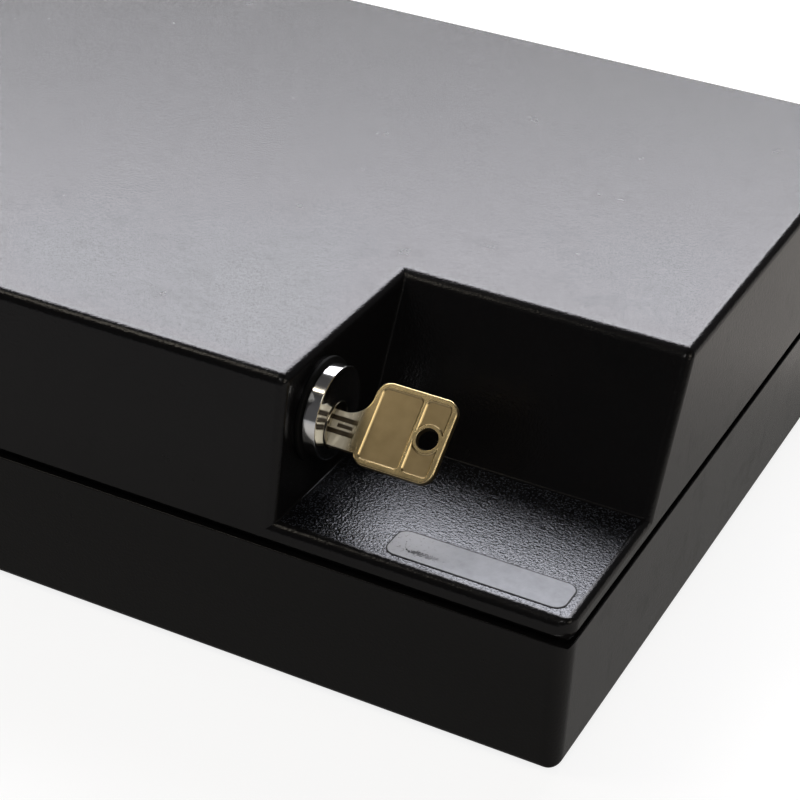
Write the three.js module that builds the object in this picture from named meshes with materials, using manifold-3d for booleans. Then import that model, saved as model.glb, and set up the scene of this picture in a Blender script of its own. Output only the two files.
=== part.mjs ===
import * as THREE from 'three';
import { mergeVertices } from 'three/addons/utils/BufferGeometryUtils.js';
import Module from 'manifold-3d';

// Lockable security case: a moulded lid and base with a shadow seam, hinged at the rear. A corner
// of the lid is cut away for a keyed cylinder lock. Millimetres, +Z up, front towards -Y.
// The origin is on the surface that the feet stand on, below the middle of the outline.

// Case
const caseWidth = 332;
const caseDepth = 262;
const baseHeight = 43.2;
const lidHeight = 47.75;
const seamGap = 3;
const outerCornerRadius = 5.5;
const innerCornerRadius = 3;
const wall = 4.5;
const lidTopThickness = 4;
const baseFloorThickness = 4;
const topEdgeRadius = 2.8;
const bottomEdgeRadius = 2;
const sideDraft = 0.0175;
const lidFrontLean = 0.14;
const baseFrontDraft = 0.039;

// Lap joint behind the seam: a tongue on the base, a rebate in the lid
const lidLipThickness = 2;
const tongueThickness = 2;
const tongueOverlap = 5;
const tongueClearance = 0.7;

// Corner recess in the lid
const recessWidth = 88.4;
const recessDepth = 55.7;
const recessFloorHeight = 4.75;
const recessFloorThickness = 3;
const recessWall = 4;
const recessBackLean = 0.514;

// Label field on the recess floor
const labelLength = 53;
const labelDepth = 12.4;
const labelCornerRadius = 5;
const labelThickness = 0.3;
const labelRightMargin = 4.6;
const labelFrontMargin = 4.2;

// Lock: the housing's middle, measured from the front rim and from the lid's top
const lockFromFront = 25.5;
const lockBelowTop = 18.55;
const plugDrop = 4;
const housingRadius = 12;
const housingLength = 30;
const housingChamfer = 0.6;
const flangeRadius = 13.4;
const flangeThickness = 4;
const flangeLip = 0.7;
const flangeEdge = 0.25;
const dishDepth = 1.1;
const dishFlatRadius = 8;
const collarRadius = 15;
const collarThickness = 0.9;
const bossRadius = 15.6;
const bossHeight = 0.5;
const plugRadius = 6.9;
const plugSetBack = 0.5;
const plugRimWidth = 0.7;
const plugRimHeight = 0.35;
const keyTurn = 47.7;
const pinRadius = 1.3;
const pinPitch = 4;
const pinCount = 5;
const firstPinDepth = 5;
const pinTipRadius = 0.4;
const pinTipLength = 1.2;
const driverPinLength = 3;
const springWire = 0.36;
const springRadius = 0.9;
const springCurls = 3;
const springLength = 3;
const tailSquare = 8;
const tailPastCam = 0.2;
const camLength = 24;
const camWidth = 9;
const camHubWall = 3.2;
const camThickness = 2.5;
const camLockedAngle = 63;
const camScrewRadius = 2;
const camScrewLength = 8;
const camScrewHeadRadius = 3.8;
const camScrewHeadHeight = 2.4;
const camWasherThickness = 0.8;
const camWasherRadius = 5;
const backingThickness = 2;
const backingBehind = 17;
const backingBelow = 17;
const lockWasherThickness = 1;
const lockWasherRadius = 14;
const nutAcrossFlats = 28;
const nutThickness = 5;

// Key
const bowLength = 24.4;
const bowWidth = 24.8;
const bowCornerRadius = 4;
const bowRise = 3.45;
const keyThickness = 2.6;
const keyNeck = 7.6;
const bladeTop = 4.2;
const bladeBottom = 6.2;
const bladeThickness = 2.4;
const bladeInside = 25;
const keyHoleRadius = 3.2;
const keyHoleFromEnd = 5.5;
const bowRim = 1.7;
const bowPocketDepth = 0.4;
const bowBarFromEnd = 9.9;
const bowBarWidth = 0.9;
const millingWidth = 1.3;
const millingDepth = 0.6;
const millingShift = 0.4;
const millingFromBow = 1.5;
const eyeletWidth = 1;
const keyShoulderGap = 0.7;
const neckDip = 0.8;
const shallowestCut = 0.8;
const cutStep = 0.4;
const cutFlatWidth = 1;
const cutMouthWidth = 3.6;

// Catch post on the base floor
const catchLipReach = 8;
const catchFromLock = 24.5;
const catchLipGap = 1;
const catchSteel = 2.5;
const catchWidth = 24;
const catchFlangeDepth = 11;
const catchFootLength = 24;
const catchBossHeight = 7;
const catchScrewSpacing = 11;
const catchScrewRadius = 1.75;
const catchScrewHeadRadius = 3.3;
const catchScrewHeadHeight = 2;
const catchScrewLength = 8;
const catchBossMargin = 3;
const screwSlotWidth = 1;

// Hinges
const hingeFromSide = 62;
const hingeWidth = 50;
const knuckleCount = 5;
const knuckleRadius = 3.2;
const hingePinRadius = 1.25;
const leafThickness = 1;
const leafLegHeight = 24;
const leafRivetDrop = 14;
const rivetSpacing = 26;
const rivetRadius = 1.6;
const rivetHeadRadius = 3.4;
const rivetHeadHeight = 1.3;
const stopReach = 7;
const lidOpening = 100;
const leafMargin = 1;

// Feet
const footRadius = 7;
const footHeight = 2.3;
const footProud = 1.5;
const footInset = 22;
const footChamfer = 0.5;

const clearance = 0.3;
const smallSegments = 12;
const roundSegments = 24;
const fineSegments = 36;

// How far a cutting shape reaches past what it cuts
const beyond = 9;

// Places worked out from the sizes
const rad = Math.PI / 180;
const barrelSetBack = knuckleRadius + clearance;
const stopInner = knuckleRadius + 2 * clearance;
const stopHalfAngle = lidOpening / 2 + (leafThickness + clearance) / (2 * stopInner * rad);
const stopLean = 90 - stopHalfAngle;
const stopReachBack = stopReach * Math.sin(stopLean * rad) + leafThickness / 2 * Math.cos(stopLean * rad);
const hingeReach = barrelSetBack + Math.max(knuckleRadius, stopReachBack);
const left = -caseWidth / 2;
const right = caseWidth / 2;
const front = -(caseDepth + hingeReach) / 2;
const rear = front + caseDepth;
const baseBottom = footProud;
const shoulder = baseBottom + baseHeight;
const lidEdge = shoulder + seamGap;
const lidTop = lidEdge + lidHeight;
const recessLeft = right - recessWidth;
const recessBack = front + recessDepth;
const recessFloor = lidEdge + recessFloorHeight;
const lockY = front + lockFromFront;
const lockZ = lidTop - lockBelowTop;
const plugZ = lockZ - plugDrop;
const lockWallX = recessLeft - sideDraft * (lockZ - recessFloor);
const baseFloor = baseBottom + baseFloorThickness;
const ceiling = lidTop - lidTopThickness;

const wasm = await Module();
wasm.setup();

// Closed mesh to solid. Shared vertices are merged, and a shape wound inside out is turned.
function toSolid(geometry) {
  const bare = geometry.index ? geometry.toNonIndexed() : geometry.clone();
  bare.deleteAttribute('normal');
  bare.deleteAttribute('uv');
  const merged = mergeVertices(bare, 1e-4);
  const position = merged.attributes.position.array;
  const corners = [];
  let volume = 0;
  const a = new THREE.Vector3();
  const b = new THREE.Vector3();
  const c = new THREE.Vector3();
  for (let i = 0; i < merged.index.count; i += 3) {
    const [p, q, r] = [0, 1, 2].map((k) => merged.index.getX(i + k));
    if (p === q || q === r || r === p) continue;
    corners.push(p, q, r);
    a.fromArray(position, 3 * p);
    b.fromArray(position, 3 * q);
    c.fromArray(position, 3 * r);
    volume += a.dot(b.cross(c));
  }
  if (volume < 0) corners.reverse();
  return new wasm.Manifold(new wasm.Mesh({
    numProp: 3,
    vertProperties: new Float32Array(position),
    triVerts: new Uint32Array(corners),
  }));
}

function toGeometry(solid) {
  const mesh = solid.getMesh();
  const geometry = new THREE.BufferGeometry();
  geometry.setAttribute('position', new THREE.BufferAttribute(new Float32Array(mesh.vertProperties), 3));
  geometry.setIndex(new THREE.BufferAttribute(new Uint32Array(mesh.triVerts), 1));
  geometry.computeVertexNormals();
  return geometry;
}

function box(x0, x1, y0, y1, z0, z1) {
  const geometry = new THREE.BoxGeometry(x1 - x0, y1 - y0, z1 - z0);
  geometry.translate((x0 + x1) / 2, (y0 + y1) / 2, (z0 + z1) / 2);
  return toSolid(geometry);
}

function roundedRectangle(x0, x1, y0, y1, radius) {
  const outline = new THREE.Shape();
  outline.absarc(x1 - radius, y0 + radius, radius, -Math.PI / 2, 0);
  outline.absarc(x1 - radius, y1 - radius, radius, 0, Math.PI / 2);
  outline.absarc(x0 + radius, y1 - radius, radius, Math.PI / 2, Math.PI);
  outline.absarc(x0 + radius, y0 + radius, radius, Math.PI, 1.5 * Math.PI);
  outline.closePath();
  return outline;
}

// Turned shapes: profile points are [radius, distance along the axis], from axis to axis
function turned(profile, segments = roundSegments) {
  return new THREE.LatheGeometry(profile.map(([r, s]) => new THREE.Vector2(r, s)), segments);
}

function turnedX(profile, x, y, z, segments) {
  return toSolid(turned(profile, segments).rotateZ(-Math.PI / 2).translate(x, y, z));
}

function turnedY(profile, x, y, z, segments) {
  return toSolid(turned(profile, segments).translate(x, y, z));
}

function turnedZ(profile, x, y, z, segments) {
  return toSolid(turned(profile, segments).rotateX(Math.PI / 2).translate(x, y, z));
}

function rod(radius, from, to) {
  return [[0, from], [radius, from], [radius, to], [0, to]];
}

function ring(inner, outer, from, to) {
  return [[inner, from], [outer, from], [outer, to], [inner, to], [inner, from]];
}

// Block whose four walls lean inwards between two levels. The outline is full size at the first
// level, lean holds the slopes of the walls, and the edge at the second level can be rounded over.
function leaningBlock(inset, radius, lean, from, to, edgeRadius) {
  const x0 = left + inset;
  const x1 = right - inset;
  const y0 = front + inset;
  const y1 = rear - inset;
  const length = Math.abs(to - from);
  const leastCorner = 0.8;
  const corner = Math.max(radius - edgeRadius, leastCorner);
  const outline = roundedRectangle(
    x0 + edgeRadius, x1 - edgeRadius, y0 + edgeRadius, y1 - edgeRadius, corner);
  const geometry = new THREE.ExtrudeGeometry(outline, {
    depth: length,
    curveSegments: 2,
    bevelEnabled: edgeRadius > 0,
    bevelThickness: edgeRadius,
    bevelSize: edgeRadius,
    bevelSegments: 3,
  });
  geometry.translate(0, 0, -edgeRadius);
  const position = geometry.attributes.position;
  const up = Math.sign(to - from);
  for (let i = 0; i < position.count; i++) {
    const rise = position.getZ(i);
    const shareX = (position.getX(i) - x0) / (x1 - x0);
    const shareY = (position.getY(i) - y0) / (y1 - y0);
    position.setXYZ(
      i,
      position.getX(i) + lean.side * rise * (1 - 2 * shareX),
      position.getY(i) + lean.front * rise * (1 - shareY) - lean.rear * rise * shareY,
      from + up * rise,
    );
  }
  return toSolid(geometry);
}

// Volume of the corner recess, grown by a wall's thickness where its block is wanted instead
function recessVolume(grow, growFloor) {
  const reach = 60;
  const bottom = recessFloor - growFloor;
  const top = lidTop + reach;
  const geometry = new THREE.BoxGeometry(1, 1, 1);
  const position = geometry.attributes.position;
  const backGrow = grow * Math.hypot(1, recessBackLean);
  for (let i = 0; i < position.count; i++) {
    const z = position.getZ(i) > 0 ? top : bottom;
    const wallX = recessLeft - grow - sideDraft * (z - recessFloor);
    const wallY = recessBack + backGrow + recessBackLean * (z - recessFloor);
    position.setXYZ(
      i,
      position.getX(i) > 0 ? right + reach : wallX,
      position.getY(i) > 0 ? wallY : front - reach,
      z,
    );
  }
  return toSolid(geometry);
}

const lidLean = { side: sideDraft, front: lidFrontLean, rear: sideDraft };
const baseLean = { side: sideDraft, front: baseFrontDraft, rear: sideDraft };
const material = {
  shell: new THREE.MeshStandardMaterial({ color: 0x141416, roughness: 0.45, metalness: 0 }),
  label: new THREE.MeshStandardMaterial({ color: 0xa9adb3, roughness: 0.4, metalness: 0 }),
  chrome: new THREE.MeshStandardMaterial({ color: 0xc9cbcf, roughness: 0.12, metalness: 1 }),
  collar: new THREE.MeshStandardMaterial({ color: 0x0b0b0c, roughness: 0.25, metalness: 0 }),
  brass: new THREE.MeshStandardMaterial({ color: 0xa88f52, roughness: 0.3, metalness: 1 }),
  steel: new THREE.MeshStandardMaterial({ color: 0x9da1a6, roughness: 0.35, metalness: 1 }),
  rubber: new THREE.MeshStandardMaterial({ color: 0x1b1b1b, roughness: 0.85, metalness: 0 }),
};
const securityCase = new THREE.Group();
const lidGroup = new THREE.Group();
securityCase.add(lidGroup);

function place(name, shape, finish, parent = securityCase) {
  const geometry = shape.isBufferGeometry ? shape : toGeometry(shape);
  const mesh = new THREE.Mesh(geometry, finish.clone());
  mesh.name = name;
  parent.add(mesh);
  return mesh;
}

// Hinges: two leaves of sheet steel reach through the seam, lie on the inner faces of the rear
// walls and are riveted there. Stop flanges behind the barrel meet when the lid is fully open.
const hingeAxisY = rear + barrelSetBack;
const hingeAxisZ = shoulder + seamGap / 2;
const leafInside = rear - wall - sideDraft * leafLegHeight - clearance - leafThickness;
const knuckleLength = hingeWidth / knuckleCount;
const hinges = [
  { side: 'left', x: left + hingeFromSide },
  { side: 'right', x: right - hingeFromSide },
];
const leaves = [
  { name: 'base', way: -1, firstKnuckle: 0 },
  { name: 'lid', way: 1, firstKnuckle: 1 },
];

function rivetPlaces(hinge, way) {
  const z = (way > 0 ? lidEdge : shoulder) + way * leafRivetDrop;
  return [-0.5, 0.5].map((step) => ({ x: hinge.x + step * rivetSpacing, z }));
}

function rivetHole({ x, z }) {
  const hole = rod(rivetRadius + clearance, leafInside - beyond, rear + beyond);
  return turnedY(hole, x, 0, z, smallSegments);
}

function stopPlate(x0, x1, from, to, way) {
  const plate = new THREE.BoxGeometry(x1 - x0, leafThickness, to - from);
  plate.translate((x0 + x1) / 2, 0, (from + to) / 2);
  const tilt = way > 0 ? stopLean : 180 - stopLean;
  return toSolid(plate.rotateX(-tilt * rad).translate(0, hingeAxisY, hingeAxisZ));
}

function hingeLeaf(hinge, leaf) {
  const x0 = hinge.x - hingeWidth / 2;
  const x1 = hinge.x + hingeWidth / 2;
  const rim = leaf.way > 0 ? lidEdge - clearance : shoulder + clearance;
  const inner = rim - leaf.way * leafThickness;
  const legEnd = rim + leaf.way * leafLegHeight;
  const flange = [Math.min(rim, inner), Math.max(rim, inner)];
  const leg = [Math.min(inner, legEnd), Math.max(inner, legEnd)];
  let shape = box(x0, x1, leafInside, hingeAxisY, ...flange);
  shape = shape.add(box(x0, x1, leafInside, leafInside + leafThickness, ...leg));
  shape = shape.add(stopPlate(x0, x1, stopInner, stopReach, leaf.way));
  for (let i = 0; i < knuckleCount; i++) {
    const from = x0 + i * knuckleLength + clearance / 2;
    const to = from + knuckleLength - clearance;
    if (i % 2 === leaf.firstKnuckle) {
      shape = shape.add(turnedX(rod(knuckleRadius, from, to), 0, hingeAxisY, hingeAxisZ));
      shape = shape.add(stopPlate(from, to, knuckleRadius - clearance, stopReach, leaf.way));
    } else {
      const space = rod(knuckleRadius + clearance, from - clearance, to + clearance);
      shape = shape.subtract(turnedX(space, 0, hingeAxisY, hingeAxisZ));
    }
  }
  const pinRoom = rod(hingePinRadius + clearance, x0 - beyond, x1 + beyond);
  shape = shape.subtract(turnedX(pinRoom, 0, hingeAxisY, hingeAxisZ, smallSegments));
  for (const spot of rivetPlaces(hinge, leaf.way)) {
    shape = shape.subtract(rivetHole(spot));
  }
  return shape;
}

function rivet(x, z, way) {
  const wallLean = sideDraft * leafRivetDrop;
  const outerFace = rear - wallLean + clearance;
  const innerFace = leafInside - clearance;
  const profile = [
    [0, innerFace - rivetHeadHeight],
    [rivetHeadRadius * 0.55, innerFace - rivetHeadHeight],
    [rivetHeadRadius * 0.8, innerFace],
    [rivetRadius, innerFace],
    [rivetRadius, outerFace],
    [rivetHeadRadius, outerFace],
    [rivetHeadRadius * 0.8, outerFace + rivetHeadHeight * 0.7],
    [rivetHeadRadius * 0.35, outerFace + rivetHeadHeight],
    [0, outerFace + rivetHeadHeight],
  ];
  return turnedY(profile, x, 0, z, smallSegments);
}

// Lock train along the plug's axis, with places measured from the recess wall outwards
const bossFace = lockWallX + bossHeight;
const collarBack = bossFace + clearance;
const flangeBack = collarBack + collarThickness + clearance;
const lockFace = flangeBack + flangeThickness;
const housingEnd = flangeBack - housingLength;
const innerBossFace = lockWallX - recessWall - bossHeight;
const backingFront = innerBossFace - clearance;
const washerFront = backingFront - backingThickness - clearance;
const nutFront = washerFront - lockWasherThickness - clearance;
const plugFace = lockFace - plugSetBack;
const camFront = housingEnd - clearance;
const camBack = camFront - camThickness;
const camMiddle = (camFront + camBack) / 2;

// Catch: the cam's tip turns under this lip
const camArmLength = camLength - camWidth / 2;
const lipFront = lockY + catchFromLock - catchLipReach;
const lipRear = lockY + catchFromLock + catchSteel;
const camTopAtLip = plugZ + (camWidth / 2) / Math.sin(camLockedAngle * rad)
  - (lipFront - lockY) / Math.tan(camLockedAngle * rad);
const lipBottom = camTopAtLip + catchLipGap;
const catchBossTop = baseFloor + catchBossHeight;
const catchFootBottom = catchBossTop + clearance;
const catchFootRear = lipRear - catchSteel + catchFootLength;
const catchScrewY = (lipRear + catchFootRear) / 2 + 2;
const catchScrewXs = [-0.5, 0.5].map((step) => camMiddle + step * catchScrewSpacing);

// Base: tub with a lap tongue at its mouth, bosses for the catch and hollows for the feet
const footPlaces = [
  { name: 'front_left', x: left + footInset, y: front + footInset },
  { name: 'front_right', x: right - footInset, y: front + footInset },
  { name: 'rear_left', x: left + footInset, y: rear - footInset },
  { name: 'rear_right', x: right - footInset, y: rear - footInset },
];
const footRecess = footHeight - footProud + clearance;

function baseShell() {
  let shape = leaningBlock(0, outerCornerRadius, baseLean, shoulder, baseBottom, bottomEdgeRadius);
  shape = shape.intersect(box(
    left - beyond, right + beyond, front - beyond, rear + beyond, baseBottom - beyond, shoulder));
  const tongueInset = lidLipThickness + tongueClearance;
  const tongueFoot = shoulder - tongueThickness;
  const tongueTop = lidEdge + tongueOverlap;
  let tongue = leaningBlock(tongueInset, innerCornerRadius, lidLean, tongueFoot, tongueTop, 0);
  const underRecess = recessVolume(recessWall + tongueClearance, recessFloorThickness + tongueClearance);
  tongue = tongue.subtract(underRecess);
  for (const hinge of hinges) {
    const reach = hingeWidth / 2 + leafMargin;
    tongue = tongue.subtract(box(
      hinge.x - reach, hinge.x + reach, rear - 3 * wall, rear + beyond, shoulder, tongueTop + beyond));
  }
  shape = shape.add(tongue);
  const mouth = leaningBlock(wall, innerCornerRadius, lidLean, tongueFoot, tongueTop + beyond, 0);
  const tub = leaningBlock(wall, innerCornerRadius, baseLean, shoulder, baseFloor, bottomEdgeRadius);
  shape = shape.subtract(mouth).subtract(tub);
  shape = shape.add(box(
    camMiddle - catchWidth / 2 - catchBossMargin, camMiddle + catchWidth / 2 + catchBossMargin,
    lipRear - catchSteel - catchBossMargin, catchFootRear + catchBossMargin,
    baseFloor - baseFloorThickness / 2, catchBossTop));
  for (const x of catchScrewXs) {
    const hole = rod(catchScrewRadius + clearance, catchBossTop - catchScrewLength, catchBossTop + beyond);
    shape = shape.subtract(turnedZ(hole, x, catchScrewY, 0, smallSegments));
  }
  for (const foot of footPlaces) {
    const hollow = rod(footRadius + clearance, baseBottom - beyond, baseBottom + footRecess);
    shape = shape.subtract(turnedZ(hollow, foot.x, foot.y, 0));
  }
  for (const hinge of hinges) {
    for (const spot of rivetPlaces(hinge, -1)) {
      shape = shape.subtract(rivetHole(spot));
    }
  }
  return shape;
}

// Lid: hollow cover with the corner recess, a flat seat for the lock and a rebate for the tongue
function lidShell() {
  let shape = leaningBlock(0, outerCornerRadius, lidLean, lidEdge, lidTop, topEdgeRadius);
  shape = shape.intersect(box(
    left - beyond, right + beyond, front - beyond, rear + beyond, lidEdge, lidTop + beyond));
  shape = shape.subtract(recessVolume(0, 0));
  const hollow = leaningBlock(wall, innerCornerRadius, lidLean, lidEdge - clearance, ceiling, 0);
  const rebateTop = lidEdge + tongueOverlap + tongueClearance;
  const rebate = leaningBlock(lidLipThickness, innerCornerRadius, lidLean, lidEdge - clearance, rebateTop, 0);
  const block = recessVolume(recessWall, recessFloorThickness);
  shape = shape.subtract(hollow.add(rebate).subtract(block));
  const seat = turnedX(rod(bossRadius, innerBossFace, bossFace), 0, lockY, lockZ, fineSegments);
  shape = shape.add(seat);
  const through = rod(housingRadius + clearance, innerBossFace - beyond, bossFace + beyond);
  shape = shape.subtract(turnedX(through, 0, lockY, lockZ, fineSegments));
  for (const hinge of hinges) {
    for (const spot of rivetPlaces(hinge, 1)) {
      shape = shape.subtract(rivetHole(spot));
    }
  }
  return shape;
}

place('base_shell', baseShell(), material.shell);
place('lid_shell', lidShell(), material.shell, lidGroup);

// Feet: rubber discs pressed into round hollows under the base
for (const foot of footPlaces) {
  const profile = [
    [0, 0], [footRadius - footChamfer, 0], [footRadius, footChamfer],
    [footRadius, footHeight], [0, footHeight],
  ];
  place(`foot_${foot.name}`, turnedZ(profile, foot.x, foot.y, 0), material.rubber);
}

// Label field: a thin plain strip on the recess floor
const labelRight = right - labelRightMargin;
const labelFront = front + labelFrontMargin + lidFrontLean * recessFloorHeight;
const labelOutline = roundedRectangle(
  labelRight - labelLength, labelRight, labelFront, labelFront + labelDepth, labelCornerRadius);
const labelStrip = new THREE.ExtrudeGeometry(labelOutline, {
  depth: labelThickness, curveSegments: 6, bevelEnabled: false,
});
labelStrip.translate(0, 0, recessFloor + clearance);
place('label_field', toSolid(labelStrip), material.label, lidGroup);

for (const hinge of hinges) {
  for (const leaf of leaves) {
    const parent = leaf.way > 0 ? lidGroup : securityCase;
    const name = `hinge_${hinge.side}_${leaf.name}`;
    place(`${name}_leaf`, hingeLeaf(hinge, leaf), material.steel, parent);
    rivetPlaces(hinge, leaf.way).forEach(({ x, z }, i) => {
      place(`${name}_rivet_${i + 1}`, rivet(x, z, leaf.way), material.steel, parent);
    });
  }
  const pin = rod(hingePinRadius, hinge.x - hingeWidth / 2, hinge.x + hingeWidth / 2);
  const pinShape = turnedX(pin, 0, hingeAxisY, hingeAxisZ, smallSegments);
  place(`hinge_${hinge.side}_pin`, pinShape, material.steel);
}

// Housing: threaded body with a polished flange. Its shallow dish surrounds the plug, which sits
// below the housing's middle to leave room for the pins above it.
const boreRadius = plugRadius + clearance;
const pinHoleRadius = pinRadius + clearance;
const chamberTop = boreRadius + driverPinLength + springLength + 3 * clearance;
const pinXs = Array.from({ length: pinCount }, (_, i) => lockFace - firstPinDepth - i * pinPitch);
const keyPinTop = plugRadius - clearance / 2;

function lockHousing() {
  const dishRadius = flangeRadius - flangeLip;
  const dishCurve = [0, 30, 60, 90].map((angle) => [
    dishFlatRadius + (dishRadius - dishFlatRadius) * Math.cos(angle * rad),
    lockFace - dishDepth * Math.sin(angle * rad),
  ]);
  const body = [
    [0, housingEnd], [housingRadius - housingChamfer, housingEnd],
    [housingRadius, housingEnd + housingChamfer], [housingRadius, flangeBack],
    [flangeRadius, flangeBack], [flangeRadius, lockFace - flangeEdge],
    [flangeRadius - flangeEdge, lockFace], ...dishCurve, [0, lockFace - dishDepth],
  ];
  let shape = turnedX(body, 0, lockY, lockZ, fineSegments);
  const bore = rod(boreRadius, housingEnd - beyond, lockFace + beyond);
  shape = shape.subtract(turnedX(bore, 0, lockY, plugZ, fineSegments));
  for (const x of pinXs) {
    shape = shape.subtract(turnedZ(rod(pinHoleRadius, 0, chamberTop), x, lockY, plugZ, smallSegments));
  }
  return shape;
}

place('lock_housing', lockHousing(), material.chrome, lidGroup);
const collarInner = housingRadius + clearance;
const collarProfile = [
  [collarInner, 0], [collarRadius, 0], [collarRadius, collarThickness / 2],
  [collarRadius - collarThickness / 2, collarThickness], [collarInner, collarThickness], [collarInner, 0],
];
const collar = turnedX(collarProfile, collarBack, lockY, lockZ, fineSegments);
place('lock_collar', collar, material.collar, lidGroup);

const backingHole = rod(housingRadius + clearance, -beyond, beyond);
const backingTop = ceiling - clearance;
const backingBottom = lockZ - backingBelow;
const backingFrontEdge = front + wall + lidFrontLean * (backingTop - lidEdge) + clearance;
const backingPlate = box(
  backingFront - backingThickness, backingFront,
  backingFrontEdge, lockY + backingBehind,
  backingBottom, backingTop,
).subtract(turnedX(backingHole, backingFront, lockY, lockZ, fineSegments));
place('lock_backing_plate', backingPlate, material.steel, lidGroup);
const washerProfile = ring(housingRadius + clearance, lockWasherRadius, -lockWasherThickness, 0);
const lockWasher = turnedX(washerProfile, washerFront, lockY, lockZ, fineSegments);
place('lock_washer', lockWasher, material.steel, lidGroup);
const nutCornerRadius = nutAcrossFlats / Math.sqrt(3);
const nutBlank = turned(rod(nutCornerRadius, -nutThickness, 0), 6);
nutBlank.rotateZ(-Math.PI / 2).rotateX(Math.PI / 6).translate(nutFront, lockY, lockZ);
const nutHole = rod(housingRadius + clearance, -nutThickness - beyond, beyond);
const lockNut = toSolid(nutBlank).subtract(turnedX(nutHole, nutFront, lockY, lockZ, fineSegments));
place('lock_nut', lockNut, material.steel, lidGroup);

// Plug and key are made as they stand with the key upright, about the plug's axis, and are then
// turned together to the key's angle at rest
const plugGroup = new THREE.Group();
plugGroup.position.set(0, lockY, plugZ);
plugGroup.rotation.x = -keyTurn * rad;
lidGroup.add(plugGroup);

function lockPlug() {
  const plugEnd = housingEnd + clearance;
  const profile = [
    [0, plugEnd], [plugRadius, plugEnd], [plugRadius, plugFace], [plugRadius - plugRimWidth, plugFace],
    [plugRadius - 2 * plugRimWidth, plugFace - plugRimHeight], [0, plugFace - 2 * plugRimHeight],
  ];
  let shape = turnedX(profile, 0, 0, 0, fineSegments);
  const tailFrom = camBack - tailPastCam;
  const tailTo = plugEnd + clearance;
  const tail = new THREE.BoxGeometry(tailTo - tailFrom, tailSquare, tailSquare);
  tail.rotateX(camLockedAngle * rad).translate((tailFrom + tailTo) / 2, 0, 0);
  shape = shape.add(toSolid(tail));
  const slot = bladeThickness / 2 + clearance;
  const keyEnd = lockFace - bladeInside;
  shape = shape.subtract(box(
    keyEnd - clearance, lockFace + beyond, -slot, slot, -plugRadius - beyond, bladeTop + clearance));
  const screwHole = rod(camScrewRadius + clearance, camBack - beyond, camBack + camScrewLength);
  shape = shape.subtract(turnedX(screwHole, 0, 0, 0, smallSegments));
  for (const x of pinXs) {
    shape = shape.subtract(turnedZ(rod(pinHoleRadius, 0, plugRadius + beyond), x, 0, 0, smallSegments));
  }
  return shape;
}

place('lock_plug', lockPlug(), material.chrome, plugGroup);
const tip = bladeTop + clearance;
pinXs.forEach((x, i) => {
  const keyPin = [
    [0, tip], [pinTipRadius, tip], [pinRadius, tip + pinTipLength], [pinRadius, keyPinTop], [0, keyPinTop],
  ];
  place(`key_pin_${i + 1}`, turnedZ(keyPin, x, 0, 0, smallSegments), material.brass, plugGroup);
  const driverFrom = boreRadius + clearance;
  const driver = rod(pinRadius, driverFrom, driverFrom + driverPinLength);
  const driverPin = turnedZ(driver, x, lockY, plugZ, smallSegments);
  place(`driver_pin_${i + 1}`, driverPin, material.steel, lidGroup);
});

// Pin springs: small coils above the driver pins
class Coil extends THREE.Curve {
  constructor(radius, height, curls) {
    super();
    Object.assign(this, { radius, height, curls });
  }

  getPoint(t, target = new THREE.Vector3()) {
    const angle = 2 * Math.PI * this.curls * t;
    return target.set(this.radius * Math.cos(angle), this.radius * Math.sin(angle), this.height * t);
  }
}

const wireOutline = new THREE.Shape();
wireOutline.absarc(0, 0, springWire / 2, 0, 2 * Math.PI);
pinXs.forEach((x, i) => {
  const free = springLength - springWire - clearance;
  const coil = new THREE.ExtrudeGeometry(wireOutline, {
    steps: 8 * springCurls,
    curveSegments: 3,
    bevelEnabled: false,
    extrudePath: new Coil(springRadius, free, springCurls),
  });
  const foot = plugZ + boreRadius + driverPinLength + 2 * clearance + springWire / 2;
  coil.translate(x, lockY, foot);
  place(`pin_spring_${i + 1}`, toSolid(coil), material.steel, lidGroup);
});

// Cam: flat steel lever on the plug's square tail, held by a washer and a screw
function lockCam() {
  const outline = new THREE.Shape();
  const half = camWidth / 2;
  const hubRadius = tailSquare / 2 + camHubWall;
  const spread = Math.asin(half / hubRadius);
  outline.absarc(0, 0, hubRadius, spread, 2 * Math.PI - spread);
  outline.absarc(camArmLength, 0, half, -Math.PI / 2, Math.PI / 2);
  outline.closePath();
  const hole = tailSquare / 2 + clearance;
  outline.holes.push(new THREE.Path([
    new THREE.Vector2(-hole, -hole), new THREE.Vector2(-hole, hole),
    new THREE.Vector2(hole, hole), new THREE.Vector2(hole, -hole),
  ]));
  const lever = new THREE.ExtrudeGeometry(outline, {
    depth: camThickness, curveSegments: 12, bevelEnabled: false,
  });
  return lever.rotateY(Math.PI / 2);
}

const camMesh = place('lock_cam', lockCam(), material.steel, plugGroup);
camMesh.position.x = camBack;
camMesh.rotation.x = camLockedAngle * rad;
const camWasherFront = camBack - tailPastCam - clearance;
const camWasher = ring(camScrewRadius + clearance, camWasherRadius, -camWasherThickness, 0);
place('cam_washer', turnedX(camWasher, camWasherFront, 0, 0), material.steel, plugGroup);
const headFace = camWasherFront - camWasherThickness - clearance;
const camScrewProfile = [
  [0, headFace - camScrewHeadHeight], [camScrewHeadRadius * 0.8, headFace - camScrewHeadHeight],
  [camScrewHeadRadius, headFace - camScrewHeadHeight * 0.6], [camScrewHeadRadius, headFace],
  [camScrewRadius, headFace], [camScrewRadius, camBack + camScrewLength - clearance],
  [0, camBack + camScrewLength - clearance],
];
const driveSlot = box(
  headFace - camScrewHeadHeight - beyond, headFace - camScrewHeadHeight / 2,
  -camScrewHeadRadius, camScrewHeadRadius, -screwSlotWidth / 2, screwSlotWidth / 2);
const camScrew = turnedX(camScrewProfile, 0, 0, 0, roundSegments).subtract(driveSlot);
place('cam_screw', camScrew, material.steel, plugGroup);

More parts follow.
